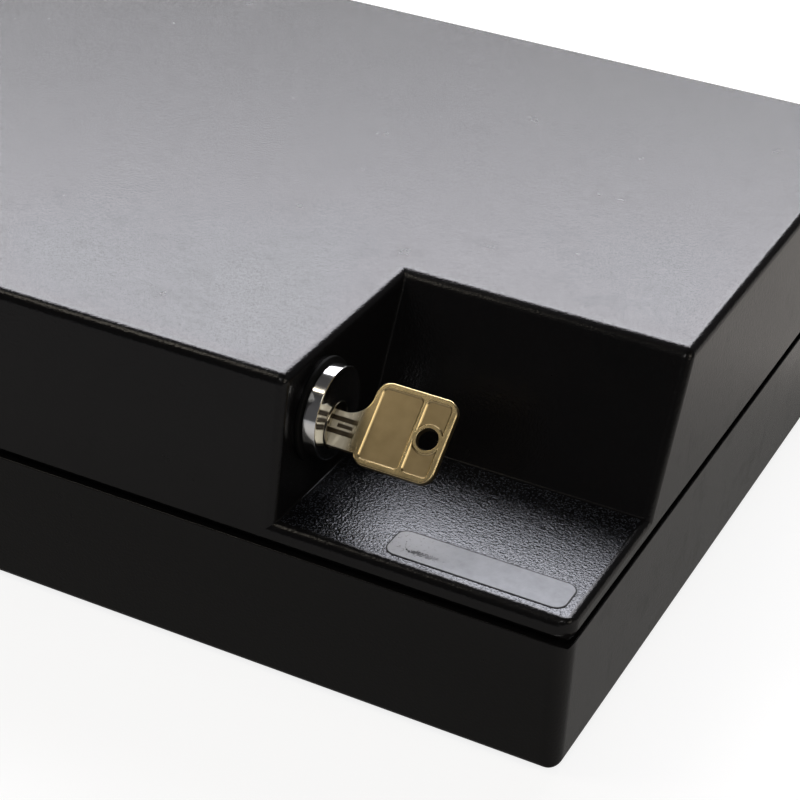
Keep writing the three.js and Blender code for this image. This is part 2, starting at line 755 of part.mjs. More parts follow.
// Key: square bow with a raised rim and a bar beside the hole, and a milled blade below its middle
function lockKey() {
  const bowNear = lockFace + keyNeck;
  const bowFar = bowNear + bowLength;
  const bowTop = bowRise + bowWidth / 2;
  const bowBottom = bowRise - bowWidth / 2;
  const tip = lockFace - bladeInside;
  const r = bowCornerRadius;
  const outline = new THREE.Shape();
  outline.moveTo(tip + bladeBottom / 2, -bladeBottom);
  outline.lineTo(bowNear, -bladeBottom);
  outline.absarc(bowNear + r, bowBottom + r, r, Math.PI, 1.5 * Math.PI);
  outline.absarc(bowFar - r, bowBottom + r, r, -Math.PI / 2, 0);
  outline.absarc(bowFar - r, bowTop - r, r, 0, Math.PI / 2);
  outline.absarc(bowNear + r, bowTop - r, r, Math.PI / 2, Math.PI);
  outline.quadraticCurveTo(bowNear - neckDip, bladeTop + neckDip / 2, lockFace + keyShoulderGap, bladeTop);
  pinXs.forEach((x, i) => {
    const cutFloor = bladeTop - shallowestCut - cutStep * ((2 * i) % 3);
    outline.lineTo(x + cutMouthWidth / 2, bladeTop);
    outline.lineTo(x + cutFlatWidth / 2, cutFloor);
    outline.lineTo(x - cutFlatWidth / 2, cutFloor);
    outline.lineTo(x - cutMouthWidth / 2, bladeTop);
  });
  outline.lineTo(tip, 0);
  outline.closePath();
  const plate = new THREE.ExtrudeGeometry(outline, {
    depth: keyThickness, curveSegments: 6, bevelEnabled: false,
  });
  plate.rotateX(Math.PI / 2).translate(0, keyThickness / 2, 0);
  let shape = toSolid(plate);
  const holeX = bowFar - keyHoleFromEnd;
  const hole = rod(keyHoleRadius, -keyThickness, keyThickness);
  shape = shape.subtract(turnedY(hole, holeX, 0, bowRise, roundSegments));
  const barX = bowFar - bowBarFromEnd;
  const pockets = [
    [bowNear + bowRim, barX - bowBarWidth / 2],
    [barX + bowBarWidth / 2, bowFar - bowRim],
  ];
  const eyeletRod = rod(keyHoleRadius + eyeletWidth, -keyThickness, keyThickness);
  const eyelet = turnedY(eyeletRod, holeX, 0, bowRise, roundSegments);
  const millingEnd = bowNear - millingFromBow;
  for (const face of [-1, 1]) {
    const surface = face * keyThickness / 2;
    const floor = surface - face * bowPocketDepth;
    const across = [Math.min(surface + face, floor), Math.max(surface + face, floor)];
    for (const [from, to] of pockets) {
      const pocket = box(from, to, ...across, bowBottom + bowRim, bowTop - bowRim);
      shape = shape.subtract(pocket.subtract(eyelet));
    }
    const bladeFloor = face * bladeThickness / 2;
    const skim = [Math.min(surface + face, bladeFloor), Math.max(surface + face, bladeFloor)];
    shape = shape.subtract(box(
      tip - beyond, lockFace + keyShoulderGap, ...skim, -bladeBottom - beyond, bladeTop + beyond));
    const millFloor = surface - face * millingDepth;
    const mill = [Math.min(surface + face, millFloor), Math.max(surface + face, millFloor)];
    for (const level of [-bladeBottom / 2, bladeTop / 4]) {
      const low = level - face * millingShift - millingWidth / 2;
      shape = shape.subtract(box(tip - beyond, millingEnd, ...mill, low, low + millingWidth));
    }
  }
  return shape;
}

place('key', lockKey(), material.brass, plugGroup);

// Catch: folded steel post on the base floor, with a lip that the cam's tip turns under
function catchBracket() {
  const x0 = camMiddle - catchWidth / 2;
  const x1 = camMiddle + catchWidth / 2;
  const footTop = catchFootBottom + catchSteel;
  let shape = box(x0, x1, lipRear - catchSteel, lipRear, catchFootBottom, lipBottom + catchSteel);
  shape = shape.add(box(x0, x1, lipFront, lipRear, lipBottom, lipBottom + catchSteel));
  shape = shape.add(box(x0, x1, lipRear - catchSteel, catchFootRear, catchFootBottom, footTop));
  for (const x of [x0, x1 - catchSteel]) {
    const web = new THREE.Shape();
    web.moveTo(lipRear - catchSteel, catchFootBottom);
    web.lineTo(catchFootRear, catchFootBottom);
    web.lineTo(catchFootRear, footTop);
    web.lineTo(lipRear + catchFlangeDepth / 2, footTop + catchFlangeDepth);
    web.lineTo(lipRear + catchFlangeDepth / 2, lipBottom - catchFlangeDepth);
    web.lineTo(lipRear, lipBottom);
    web.lineTo(lipRear - catchSteel, lipBottom);
    web.closePath();
    const plate = new THREE.ExtrudeGeometry(web, { depth: catchSteel, bevelEnabled: false });
    plate.rotateY(Math.PI / 2).rotateX(Math.PI / 2);
    shape = shape.add(toSolid(plate.translate(x, 0, 0)));
  }
  for (const x of catchScrewXs) {
    const hole = rod(catchScrewRadius + clearance, catchFootBottom - beyond, footTop + beyond);
    shape = shape.subtract(turnedZ(hole, x, catchScrewY, 0, smallSegments));
  }
  return shape;
}

place('catch_bracket', catchBracket(), material.steel);
const catchScrewSeat = catchFootBottom + catchSteel + clearance;
const catchScrewTip = catchBossTop - catchScrewLength + clearance;
const catchScrewTop = catchScrewSeat + catchScrewHeadHeight;
const slotFloor = catchScrewSeat + catchScrewHeadHeight / 2;
const catchScrewProfile = [
  [0, catchScrewTip], [catchScrewRadius, catchScrewTip], [catchScrewRadius, catchScrewSeat],
  [catchScrewHeadRadius, catchScrewSeat], [catchScrewHeadRadius, slotFloor],
  [catchScrewHeadRadius * 0.6, catchScrewTop], [0, catchScrewTop],
];
catchScrewXs.forEach((x, i) => {
  const slot = box(
    x - screwSlotWidth / 2, x + screwSlotWidth / 2,
    catchScrewY - beyond, catchScrewY + beyond, slotFloor, slotFloor + beyond);
  const screw = turnedZ(catchScrewProfile, x, catchScrewY, 0, roundSegments).subtract(slot);
  place(`catch_screw_${['left', 'right'][i]}`, screw, material.steel);
});

export default securityCase;
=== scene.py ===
import math

import bmesh
import bpy
from mathutils import Matrix, Vector


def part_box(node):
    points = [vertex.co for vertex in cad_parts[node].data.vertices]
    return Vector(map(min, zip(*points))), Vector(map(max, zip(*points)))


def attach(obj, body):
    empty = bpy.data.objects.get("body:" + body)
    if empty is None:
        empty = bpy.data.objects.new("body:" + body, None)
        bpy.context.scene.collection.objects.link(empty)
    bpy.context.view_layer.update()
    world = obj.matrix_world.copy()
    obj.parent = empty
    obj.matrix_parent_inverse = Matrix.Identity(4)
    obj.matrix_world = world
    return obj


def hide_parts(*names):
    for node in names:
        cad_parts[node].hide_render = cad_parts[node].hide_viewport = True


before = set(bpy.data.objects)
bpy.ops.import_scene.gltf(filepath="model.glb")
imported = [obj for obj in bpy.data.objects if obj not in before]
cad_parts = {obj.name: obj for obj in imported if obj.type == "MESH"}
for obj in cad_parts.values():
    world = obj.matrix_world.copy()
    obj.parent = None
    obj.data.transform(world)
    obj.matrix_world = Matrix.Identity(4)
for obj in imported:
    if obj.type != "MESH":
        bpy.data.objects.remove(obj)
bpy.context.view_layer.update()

# Base tub: the lower half of the case, moulded in black structural foam with a fine grain. Its
# walls draw in a little towards the floor. A thin tongue stands up inside the seam, follows the
# corner recess of the lid, and makes way for the hinge leaves.
MM = 1000.0
WALL = 4.5
SIDE_LEAN = 0.0175
BASE_FRONT_LEAN = 0.039
LID_FRONT_LEAN = 0.14
CORNER_RADIUS = 5.5
INNER_CORNER_RADIUS = 3.0
BASE_EDGE_RADIUS = 2.0
BASE_FLOOR = 4.0
SEAM_HEIGHT = 3.0
TONGUE_INSET = 2.7
TONGUE_RISE = 5.0
RECESS_WIDTH = 88.4
RECESS_DEPTH = 55.7
RECESS_FLOOR = 4.75
RECESS_BACK_LEAN = 0.514
RECESS_WALL = 4.0
RECESS_FLOOR_THICKNESS = 3.0
TONGUE_CLEARANCE = 0.7
CLEARANCE = 0.3
LEAF_MARGIN = 1.0
SEAM_EDGE = 0.4
BOSS_MARGIN = 3.0
BOSS_DEPTH = 24.0
BOSS_EDGE = 0.8
CATCH_SCREW_HOLE = 2.05
RIVET_HOLE = 1.9
OVERLAP = 2.0
SINK = 1.0
REACH = 9.0
SLIVER = 0.02
TOUCHING = 0.01
SOFTEN_ABOVE = 15
SHARP_ABOVE = 32
UPRIGHT = 0.9


def box_mm(node):
    """Lowest and highest corner of a CAD node, in millimetres."""
    low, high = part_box(node)
    return Vector(low) * MM, Vector(high) * MM


class Value:
    """A node's output that takes part in arithmetic."""

    def __init__(self, finish, socket):
        self.finish = finish
        self.socket = socket

    def maths(self, operation, *terms):
        return self.finish.node("ShaderNodeMath", {"operation": operation}, dict(enumerate(terms)))

    def __add__(self, other):
        return self.maths("ADD", self, other)

    def __sub__(self, other):
        return self.maths("SUBTRACT", self, other)

    def __rsub__(self, other):
        return self.maths("SUBTRACT", other, self)

    def __mul__(self, other):
        return self.maths("MULTIPLY", self, other)

    def __truediv__(self, other):
        return self.maths("DIVIDE", self, other)

    def __pow__(self, other):
        return self.maths("POWER", self, other)

    def __abs__(self):
        return self.maths("ABSOLUTE", self)

    def __or__(self, other):
        """The larger of the two."""
        return self.maths("MAXIMUM", self, other)

    __radd__ = __add__
    __rmul__ = __mul__


class Nodes:
    """Makes and joins the nodes of one node tree."""

    def __init__(self, tree):
        self.tree = tree

    def node(self, kind, settings=None, inputs=None, output=0):
        made = self.tree.nodes.new(kind)
        for name, value in (settings or {}).items():
            setattr(made, name, value)
        for name, value in (inputs or {}).items():
            self.join(value, made.inputs[name])
        return Value(self, made.outputs[output])

    def join(self, value, socket):
        if isinstance(value, Value):
            self.tree.links.new(value.socket, socket)
        elif socket.type == "RGBA":
            socket.default_value = (*value, 1.0)
        else:
            socket.default_value = value


class Finish(Nodes):
    """A surface finish: a material whose patterns are written as expressions, in millimetres."""

    def __init__(self, name, **sockets):
        self.material = bpy.data.materials.new(name)
        self.material.use_nodes = True
        super().__init__(self.material.node_tree)
        self.shader = self.tree.nodes["Principled BSDF"]
        self.feed(**sockets)
        metres = self.node("ShaderNodeTexCoord", output="Object")
        self.place = self.node("ShaderNodeMapping", {}, {"Vector": metres, "Scale": (MM, MM, MM)})

    def feed(self, **sockets):
        for name, value in sockets.items():
            self.join(value, self.shader.inputs[name.replace("_", " ")])

    def noise(self, per_mm, detail=2.0, roughness=0.5, stretch=(1.0, 1.0, 1.0)):
        place = self.node("ShaderNodeMapping", {}, {"Vector": self.place, "Scale": stretch})
        return self.node("ShaderNodeTexNoise", {}, {
            "Vector": place, "Scale": per_mm, "Detail": detail, "Roughness": roughness})

    def ramp(self, value, low, high):
        """0 up to low, 1 from high, and straight between them."""
        return self.node(
            "ShaderNodeMapRange", {}, {"Value": value, "From Min": low, "From Max": high})

    def blend(self, share, first, second):
        return self.node("ShaderNodeMix", {"data_type": "RGBA"}, {0: share, 6: first, 7: second}, 2)

    def along(self, axis):
        return self.node("ShaderNodeSeparateXYZ", {}, {"Vector": self.place}, axis)

    def past(self, axis, centre, reach):
        """How far a point lies outside a band on one axis."""
        return (abs(self.along(axis) - centre) - reach) | 0.0

    def relief(self, height, depth):
        """Bump whose height of 1 stands depth millimetres proud."""
        return self.node(
            "ShaderNodeBump", {}, {"Height": height, "Distance": depth / MM, "Strength": 1.0})


def leaning_block(low, high, lean=(0.0, 0.0, 0.0), downwards=False):
    """Block whose walls lean inwards from its full-sized end. lean is for sides, front and rear."""
    side, front, rear = lean
    bm = bmesh.new()
    bmesh.ops.create_cube(bm, size=1.0)
    for vertex in bm.verts:
        at_low_end = vertex.co.z < 0
        rise = 0.0 if at_low_end != downwards else high[2] - low[2]
        x = low[0] + side * rise if vertex.co.x < 0 else high[0] - side * rise
        y = low[1] + front * rise if vertex.co.y < 0 else high[1] - rear * rise
        vertex.co = (x, y, low[2] if at_low_end else high[2])
    return solid(bm)


def drum(radius, low, high, segments=64):
    """Round bar between two points."""
    low, high = Vector(low), Vector(high)
    bm = bmesh.new()
    bmesh.ops.create_cone(
        bm, cap_ends=True, segments=segments, radius1=radius, radius2=radius,
        depth=(high - low).length)
    turn = (high - low).to_track_quat("Z", "Y").to_matrix().to_4x4()
    bmesh.ops.transform(bm, matrix=Matrix.Translation((low + high) / 2) @ turn, verts=bm.verts)
    return solid(bm)


def solid(bm, name="tool"):
    """The object of a mesh under work, its faces turned outwards."""
    bmesh.ops.recalc_face_normals(bm, faces=bm.faces)
    mesh = bpy.data.meshes.new(name)
    bm.to_mesh(mesh)
    bm.free()
    piece = bpy.data.objects.new(name, mesh)
    bpy.context.scene.collection.objects.link(piece)
    return piece


def settle(piece):
    """The piece's modifiers become its mesh."""
    graph = bpy.context.evaluated_depsgraph_get()
    settled = bpy.data.meshes.new_from_object(piece.evaluated_get(graph))
    rough = piece.data
    piece.modifiers.clear()
    piece.data = settled
    bpy.data.meshes.remove(rough)
    return piece


def merge(piece):
    """Closes the slivers that cuts leave."""
    bm = bmesh.new()
    bm.from_mesh(piece.data)
    bmesh.ops.remove_doubles(bm, verts=bm.verts, dist=SLIVER)
    bmesh.ops.dissolve_degenerate(bm, edges=bm.edges, dist=SLIVER)
    bm.to_mesh(piece.data)
    bm.free()
    return piece


def carve(piece, tool, operation="DIFFERENCE"):
    """Cuts a tool's shape out of the piece, or joins it on."""
    cut = piece.modifiers.new("cut", "BOOLEAN")
    cut.operation = operation
    cut.solver = "EXACT"
    cut.object = tool
    settle(piece)
    bpy.data.meshes.remove(tool.data)
    return merge(piece)


def soften(piece, radius_at, segments=6):
    """Rounds each edge by the radius that radius_at gives for its middle, run and convexity."""
    bm = bmesh.new()
    bm.from_mesh(piece.data)
    layers = bm.edges.layers.float
    weights = layers.get("bevel_weight_edge") or layers.new("bevel_weight_edge")
    radii = []
    for edge in bm.edges:
        first, second = (vertex.co for vertex in edge.verts)
        sharp = len(edge.link_faces) == 2 and edge.calc_face_angle() > math.radians(SOFTEN_ABOVE)
        place = (first + second) / 2, (second - first).normalized(), edge.is_convex
        radii.append(radius_at(*place) if sharp else 0.0)
    largest = max(radii)
    for edge, radius in zip(bm.edges, radii):
        edge[weights] = radius / largest
    bm.to_mesh(piece.data)
    bm.free()
    rounding = piece.modifiers.new("rounding", "BEVEL")
    rounding.limit_method = "WEIGHT"
    rounding.width = largest
    rounding.segments = segments
    rounding.profile = 0.5
    rounding.use_clamp_overlap = False
    return merge(settle(piece))


def uprights(radius):
    """Rounds the upright edges alone."""
    return lambda middle, run, convex: radius if abs(run.z) > UPRIGHT else 0.0


def fit(piece, name, body, slot, finish, *nodes):
    """Brings a finished piece from millimetres to its place in the frame."""
    piece.name = piece.data.name = name
    piece.data.transform(Matrix.Scale(1 / MM, 4))
    piece.data.shade_smooth()
    piece.data.set_sharp_from_angle(angle=math.radians(SHARP_ABOVE))
    even = piece.modifiers.new("even", "WEIGHTED_NORMAL")
    even.keep_sharp = True
    settle(piece)
    piece.data.materials.clear()
    piece.data.materials.append(finish.material)
    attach(piece, body)
    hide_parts(*nodes)
    return piece


base_low, base_high = box_mm("base_shell")
seam_bottom = base_high.z - TONGUE_RISE - SEAM_HEIGHT
seam_top = seam_bottom + SEAM_HEIGHT
recess_floor = seam_top + RECESS_FLOOR
base_lean = (SIDE_LEAN, BASE_FRONT_LEAN, SIDE_LEAN)
lid_lean = (SIDE_LEAN, LID_FRONT_LEAN, SIDE_LEAN)


def case_block(inset, bottom, top, lean, downwards=False):
    """Block of the case's outline between two levels, set in by a wall."""
    return leaning_block(
        (base_low.x + inset, base_low.y + inset, bottom),
        (base_high.x - inset, base_high.y - inset, top),
        lean, downwards)


def recess_block(wall=0.0, below=0.0):
    """Space of the corner recess, grown by a wall and a floor's thickness."""
    low_z = recess_floor - below
    back_wall = wall * math.hypot(1.0, RECESS_BACK_LEAN)
    bm = bmesh.new()
    bmesh.ops.create_cube(bm, size=1.0)
    for vertex in bm.verts:
        z = low_z if vertex.co.z < 0 else 2 * base_high.z + REACH
        left = base_high.x - RECESS_WIDTH - wall - SIDE_LEAN * (z - recess_floor)
        back = base_low.y + RECESS_DEPTH + back_wall + RECESS_BACK_LEAN * (z - recess_floor)
        x = left if vertex.co.x < 0 else base_high.x + 5 * REACH
        y = base_low.y - 5 * REACH if vertex.co.y < 0 else back
        vertex.co = (x, y, z)
    return solid(bm)


def base_edge(middle, run, convex):
    if abs(run.z) > UPRIGHT:
        return CORNER_RADIUS
    return BASE_EDGE_RADIUS if middle.z < base_low.z + SINK else SEAM_EDGE


def tub_edge(middle, run, convex):
    at_floor = middle.z < seam_bottom - REACH
    return INNER_CORNER_RADIUS if abs(run.z) > UPRIGHT or at_floor else 0.0


base = soften(case_block(0.0, base_low.z, seam_bottom, base_lean, downwards=True), base_edge)
tongue = soften(
    case_block(TONGUE_INSET, seam_bottom - OVERLAP, base_high.z, lid_lean),
    uprights(CORNER_RADIUS - TONGUE_INSET))
carve(tongue, recess_block(
    RECESS_WALL + TONGUE_CLEARANCE, RECESS_FLOOR_THICKNESS + TONGUE_CLEARANCE))
for side in ("left", "right"):
    leaf_low, leaf_high = box_mm(f"hinge_{side}_base_leaf")
    carve(tongue, leaning_block(
        (leaf_low.x - LEAF_MARGIN, leaf_low.y - REACH, seam_bottom),
        (leaf_high.x + LEAF_MARGIN, leaf_high.y, base_high.z + REACH)))
carve(base, tongue, "UNION")
tub = case_block(WALL, base_low.z + BASE_FLOOR, seam_bottom, base_lean, downwards=True)
carve(base, soften(tub, tub_edge))
mouth = case_block(WALL, seam_bottom - OVERLAP, base_high.z + REACH, lid_lean)
carve(base, soften(mouth, uprights(INNER_CORNER_RADIUS)))

catch_low, catch_high = box_mm("catch_bracket")
boss_front = catch_high.y - BOSS_DEPTH
boss = leaning_block(
    (catch_low.x - BOSS_MARGIN, boss_front - BOSS_MARGIN, base_low.z + BASE_FLOOR - SINK),
    (catch_high.x + BOSS_MARGIN, catch_high.y + BOSS_MARGIN, catch_low.z - CLEARANCE))
carve(base, soften(boss, lambda middle, run, convex: BOSS_EDGE), "UNION")


def drill_upright(piece, radius, node, below, above):
    """Upright hole on a node's centre line, from below its lowest point to above its highest."""
    node_low, node_high = box_mm(node)
    middle = (node_low + node_high) / 2
    carve(piece, drum(
        radius, (middle.x, middle.y, node_low.z - below), (middle.x, middle.y, node_high.z + above)))


for screw in ("catch_screw_left", "catch_screw_right"):
    drill_upright(base, CATCH_SCREW_HOLE, screw, CLEARANCE, 0.0)
for corner in ("front_left", "front_right", "rear_left", "rear_right"):
    foot_low, foot_high = box_mm(f"foot_{corner}")
    drill_upright(base, (foot_high.x - foot_low.x) / 2 + CLEARANCE, f"foot_{corner}", REACH, CLEARANCE)


def drill_rivet_holes(piece, leaf):
    """Holes through a rear wall for the rivets of its two hinge leaves."""
    for side in ("left", "right"):
        for number in (1, 2):
            rivet_low, rivet_high = box_mm(f"hinge_{side}_{leaf}_rivet_{number}")
            middle = (rivet_low + rivet_high) / 2
            ends = [(middle.x, y, middle.z) for y in (rivet_low.y - REACH, rivet_high.y + REACH)]
            carve(piece, drum(RIVET_HOLE, *ends))


drill_rivet_holes(base, "base")
moulding = Finish("black_moulding", IOR=1.5, Specular_IOR_Level=0.25)
grain = moulding.noise(1.4, detail=2.0)
cloud = moulding.noise(0.03, detail=4.0, roughness=0.6)
smudges = moulding.ramp(moulding.noise(0.07, detail=5.0, roughness=0.65), 0.55, 0.72)
streak = moulding.noise(0.5, stretch=(1.0, 1.0, 0.03))
darkest = (0.004, 0.004, 0.0045)
moulding.feed(
    Base_Color=moulding.blend(cloud * 0.6 + streak * 0.4, darkest, (0.008, 0.0075, 0.0075)),
    Roughness=cloud * 0.06 + smudges * 0.07 + 0.18,
    Normal=moulding.relief(grain, 0.1),
)
fit(base, "base_tub", "base", "shell", moulding, "base_shell")

# Feet: four soft rubber discs pressed into round hollows under the base.
# They lift the case a millimetre and a half off the surface that it stands on.
SAME_POINT = 0.002
FLAT_BELOW = 1.0
BREAK_ABOVE = 40


def dressed(node, name, body, slot, finish, edge=0.2):
    """A merged copy of a CAD node whose sharp edges are broken."""
    bm = bmesh.new()
    bm.from_mesh(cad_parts[node].data)
    bmesh.ops.scale(bm, vec=(MM, MM, MM), verts=bm.verts)
    bmesh.ops.remove_doubles(bm, verts=bm.verts, dist=SAME_POINT)
    bmesh.ops.dissolve_limit(
        bm, angle_limit=math.radians(FLAT_BELOW), verts=bm.verts, edges=bm.edges,
        use_dissolve_boundaries=False)
    sharp = [
        line for line in bm.edges
        if len(line.link_faces) == 2 and line.calc_face_angle() > math.radians(BREAK_ABOVE)]
    bmesh.ops.bevel(
        bm, geom=sharp, offset=edge, segments=2, profile=0.5, affect="EDGES", material=-1,
        clamp_overlap=True)
    return fit(solid(bm), name, body, slot, finish, node)


rubber = Finish("black_rubber", Roughness=0.8)
rubber_dust = rubber.noise(0.8, detail=4.0)
rubber.feed(
    Base_Color=rubber.blend(rubber_dust, (0.012, 0.012, 0.012), (0.03, 0.03, 0.029)),
    Normal=rubber.relief(rubber_dust, 0.05),
)
for corner in ("front_left", "front_right", "rear_left", "rear_right"):
    dressed(f"foot_{corner}", f"rubber_foot_{corner}", "base", "rubber", rubber)

# Catch: a post folded from zinc-plated steel sheet and screwed to a boss on the base floor.
# The lock's cam turns under its lip.
zinc = Finish("zinc_plated_steel", Metallic=1.0)
zinc_cloud = zinc.noise(0.25, detail=4.0, roughness=0.6)
zinc_rolling = zinc.noise(1.2, stretch=(0.08, 1.0, 1.0))
zinc.feed(
    Base_Color=zinc.blend(zinc_cloud, (0.46, 0.47, 0.48), (0.62, 0.62, 0.61)),
    Roughness=zinc_cloud * 0.15 + zinc_rolling * 0.1 + 0.24,
    Normal=zinc.relief(zinc_rolling, 0.006),
)
for node in ("catch_bracket", "catch_screw_left", "catch_screw_right"):
    dressed(node, f"{node}_piece", "base", "steel", zinc)

# Hinges: pairs of steel leaves that reach through the seam and are riveted inside the rear walls,
# each pair on a plain pin. Stop flanges behind the barrel meet when the lid is fully open.
for side in ("left", "right"):
    dressed(f"hinge_{side}_pin", f"hinge_pin_{side}", "base", "steel", zinc)
    for body in ("base", "lid"):
        hinge = f"hinge_{side}_{body}"
        dressed(f"{hinge}_leaf", f"{hinge}_leaf_piece", body, "steel", zinc)
        for number in (1, 2):
            dressed(f"{hinge}_rivet_{number}", f"{hinge}_rivet_{number}_piece", body, "steel", zinc)

# Lid: a hollow cover moulded in the same black foam, its front wall leaning back and its top edges
# rounded. The corner recess has a sloping back wall and a low floor, which the mould leaves
# stippled. The lock is clamped through its left wall, where a flat seat is moulded on.
LID_EDGE_RADIUS = 2.8
RIM_EDGE_RADIUS = 2.4
RECESS_FILLET = 0.6
LIP_THICKNESS = 2.0
LID_TOP_THICKNESS = 4.0
SEAT_RADIUS = 14.8
SEAT_HEIGHT = 0.5
LOCK_HOLE = 12.3
RIM_WIDTH = 2.4
LEANING = 0.8

lid_top = box_mm("lid_shell")[1].z
lid = carve(case_block(0.0, seam_top, lid_top, lid_lean), recess_block())


def lid_edge(middle, run, convex):
    in_recess_corner = not convex
    if in_recess_corner:
        return RECESS_FILLET
    if middle.z < seam_top + TOUCHING:
        return SEAM_EDGE
    if abs(run.z) > LEANING:
        near_front = middle.y < base_low.y + REACH
        near_rear = middle.y > base_high.y - OVERLAP
        at_side = abs(middle.x) > base_high.x - OVERLAP
        return CORNER_RADIUS if at_side and (near_front or near_rear) else LID_EDGE_RADIUS
    return RIM_EDGE_RADIUS if middle.z < recess_floor + SINK else LID_EDGE_RADIUS


soften(lid, lid_edge, segments=8)
hollow = carve(
    case_block(WALL, seam_top - SINK, lid_top - LID_TOP_THICKNESS, lid_lean),
    recess_block(RECESS_WALL, RECESS_FLOOR_THICKNESS))
carve(lid, soften(hollow, uprights(INNER_CORNER_RADIUS)))
rebate = carve(
    case_block(LIP_THICKNESS, seam_top - SINK, base_high.z + TONGUE_CLEARANCE, lid_lean),
    recess_block(RECESS_WALL, RECESS_FLOOR_THICKNESS))
carve(lid, soften(rebate, uprights(INNER_CORNER_RADIUS)))
collar_low, collar_high = box_mm("lock_collar")
lock_centre = (collar_low + collar_high) / 2
wall_face = collar_low.x - CLEARANCE - SEAT_HEIGHT
seat_xs = (wall_face - RECESS_WALL, wall_face + SEAT_HEIGHT)
seat_ends = [Vector((x, lock_centre.y, lock_centre.z)) for x in seat_xs]
carve(lid, drum(SEAT_RADIUS, *seat_ends, segments=96), "UNION")
past_wall = Vector((REACH, 0, 0))
carve(lid, drum(LOCK_HOLE, seat_ends[0] - past_wall, seat_ends[1] + past_wall, segments=96))
drill_rivet_holes(lid, "lid")
fit(lid, "lid_cover", "lid", "shell", moulding, "lid_shell")

stippled = Finish(
    "stippled_moulding", IOR=1.5, Specular_IOR_Level=0.46, Specular_Tint=(0.91, 0.94, 1.0))
stipple = stippled.noise(1.3, detail=2.0, roughness=0.55)
# The pale bluish specks on the stipple are painted glints: colour standing in for the sparkle of light
# on the grain.
painted_glints = stippled.ramp(stippled.noise(1.9, detail=1.0), 0.52, 0.64)
behind_rim = stippled.ramp(stippled.along(1), base_low.y + RIM_WIDTH, base_low.y + 1.5 * RIM_WIDTH)
stippled.feed(
    Base_Color=stippled.blend(painted_glints * behind_rim, darkest, (0.034, 0.037, 0.045)),
    Roughness=0.12 + 0.06 * stippled.noise(0.05, detail=3.0),
    Normal=stippled.relief(stipple * behind_rim, 0.19),
)
lid.data.materials.append(stippled.material)
for polygon in lid.data.polygons:
    if polygon.normal.z > 0.999 and abs(polygon.center.z * MM - recess_floor) < TOUCHING:
        polygon.material_index = 1

# Label field: a plain pale grey strip with rounded corners, left bare, on the recess floor.
# Handling has pitted and scuffed it at its left end.
LABEL_CORNER_RADIUS = 3.6
LABEL_THICKNESS = 0.2
LABEL_EDGE = 0.05
LABEL_GAP = 0.02
EDGE_SHADOW_WIDTH = 0.3
WEAR_FADES_FROM = 6.0
WEAR_ENDS = 20.0
STREAK_PLACE = (11.0, 3.6)
STREAK_REACH = (6.5, 1.5)

label_low, label_high = box_mm("label_field")
label_top = recess_floor + LABEL_THICKNESS
label = leaning_block(
    (label_low.x, label_low.y, recess_floor + LABEL_GAP), (label_high.x, label_high.y, label_top))
soften(label, uprights(LABEL_CORNER_RADIUS), segments=12)
soften(
    label, lambda middle, run, convex: LABEL_EDGE if middle.z > label_top - TOUCHING else 0.0,
    segments=2)
label_finish = Finish("label_strip", Specular_IOR_Level=0.12)
label_centre = (label_low + label_high) / 2
label_half = (label_high - label_low) / 2
past_x = label_finish.past(0, label_centre.x, label_half.x - LABEL_CORNER_RADIUS)
past_y = label_finish.past(1, label_centre.y, label_half.y - LABEL_CORNER_RADIUS)
from_edge = LABEL_CORNER_RADIUS - (past_x ** 2.0 + past_y ** 2.0) ** 0.5
# The near-black band just inside the label's edge is painted shadow along its rim.
painted_edge_shadow = 1.0 - label_finish.ramp(from_edge, EDGE_SHADOW_WIDTH, EDGE_SHADOW_WIDTH + 0.15)
at_left = 1.0 - label_finish.ramp(
    label_finish.along(0), label_low.x + WEAR_FADES_FROM, label_low.x + WEAR_ENDS)
pits = label_finish.ramp(label_finish.noise(1.1, detail=3.0, roughness=0.6), 0.58, 0.70)
streak_x = label_finish.past(0, label_low.x + STREAK_PLACE[0], 0.0) / STREAK_REACH[0]
streak_y = label_finish.past(1, label_low.y + STREAK_PLACE[1], 0.0) / STREAK_REACH[1]
near_streak = 1.0 - label_finish.ramp(streak_x ** 2.0 + streak_y ** 2.0, 0.2, 1.2)
patches = label_finish.noise(0.9, detail=4.0, roughness=0.65)
scuffs = label_finish.ramp(patches + near_streak * 0.22, 0.64, 0.70)
worn = at_left * (pits * 0.45 + scuffs)
soiling = label_finish.ramp(label_finish.noise(0.25, detail=5.0, roughness=0.65), 0.35, 0.7)
paper = label_finish.blend(soiling, (0.40, 0.415, 0.45), (0.32, 0.333, 0.362))
# The paler paper at the left end is painted light, making up for the shade that the recess wall casts
# there.
paper = label_finish.blend(at_left, paper, (0.51, 0.525, 0.56))
paper = label_finish.blend(worn, paper, (0.06, 0.06, 0.065))
label_finish.feed(
    Base_Color=label_finish.blend(painted_edge_shadow, paper, (0.01, 0.01, 0.01)),
    Roughness=worn * 0.2 + 0.42,
    Normal=label_finish.relief(worn, -0.05),
)
fit(label, "label_strip", "lid", "label", label_finish, "label_field")

# Lock: a cylinder with a polished flange and a shallow dish, clamped through the recess wall by a
# nut behind a steel plate. A thin black collar stands between the flange and the wall.
FLANGE_THICKNESS = 4.0
FLANGE_LIP = 0.7
FLANGE_EDGE = 0.12
FLANGE_BACK_EDGE = 0.15
DISH_DEPTH = 0.5
DISH_FLAT_RADIUS = 8.0
DISH_STEPS = 12
THREAD_RADIUS = 12.0
THREAD_PITCH = 1.0
THREAD_DEPTH = 0.35
THREAD_START = 1.0
PLAIN_SHANK = 8.0
HOUSING_CHAMFER = 0.8
COLLAR_EDGE = 0.25
PLUG_DROP = 4.0
PLUG_BORE = 7.2
PIN_HOLE_RADIUS = 1.6
SPRING_ROOM = 3.6
SAME_RING = 0.0005


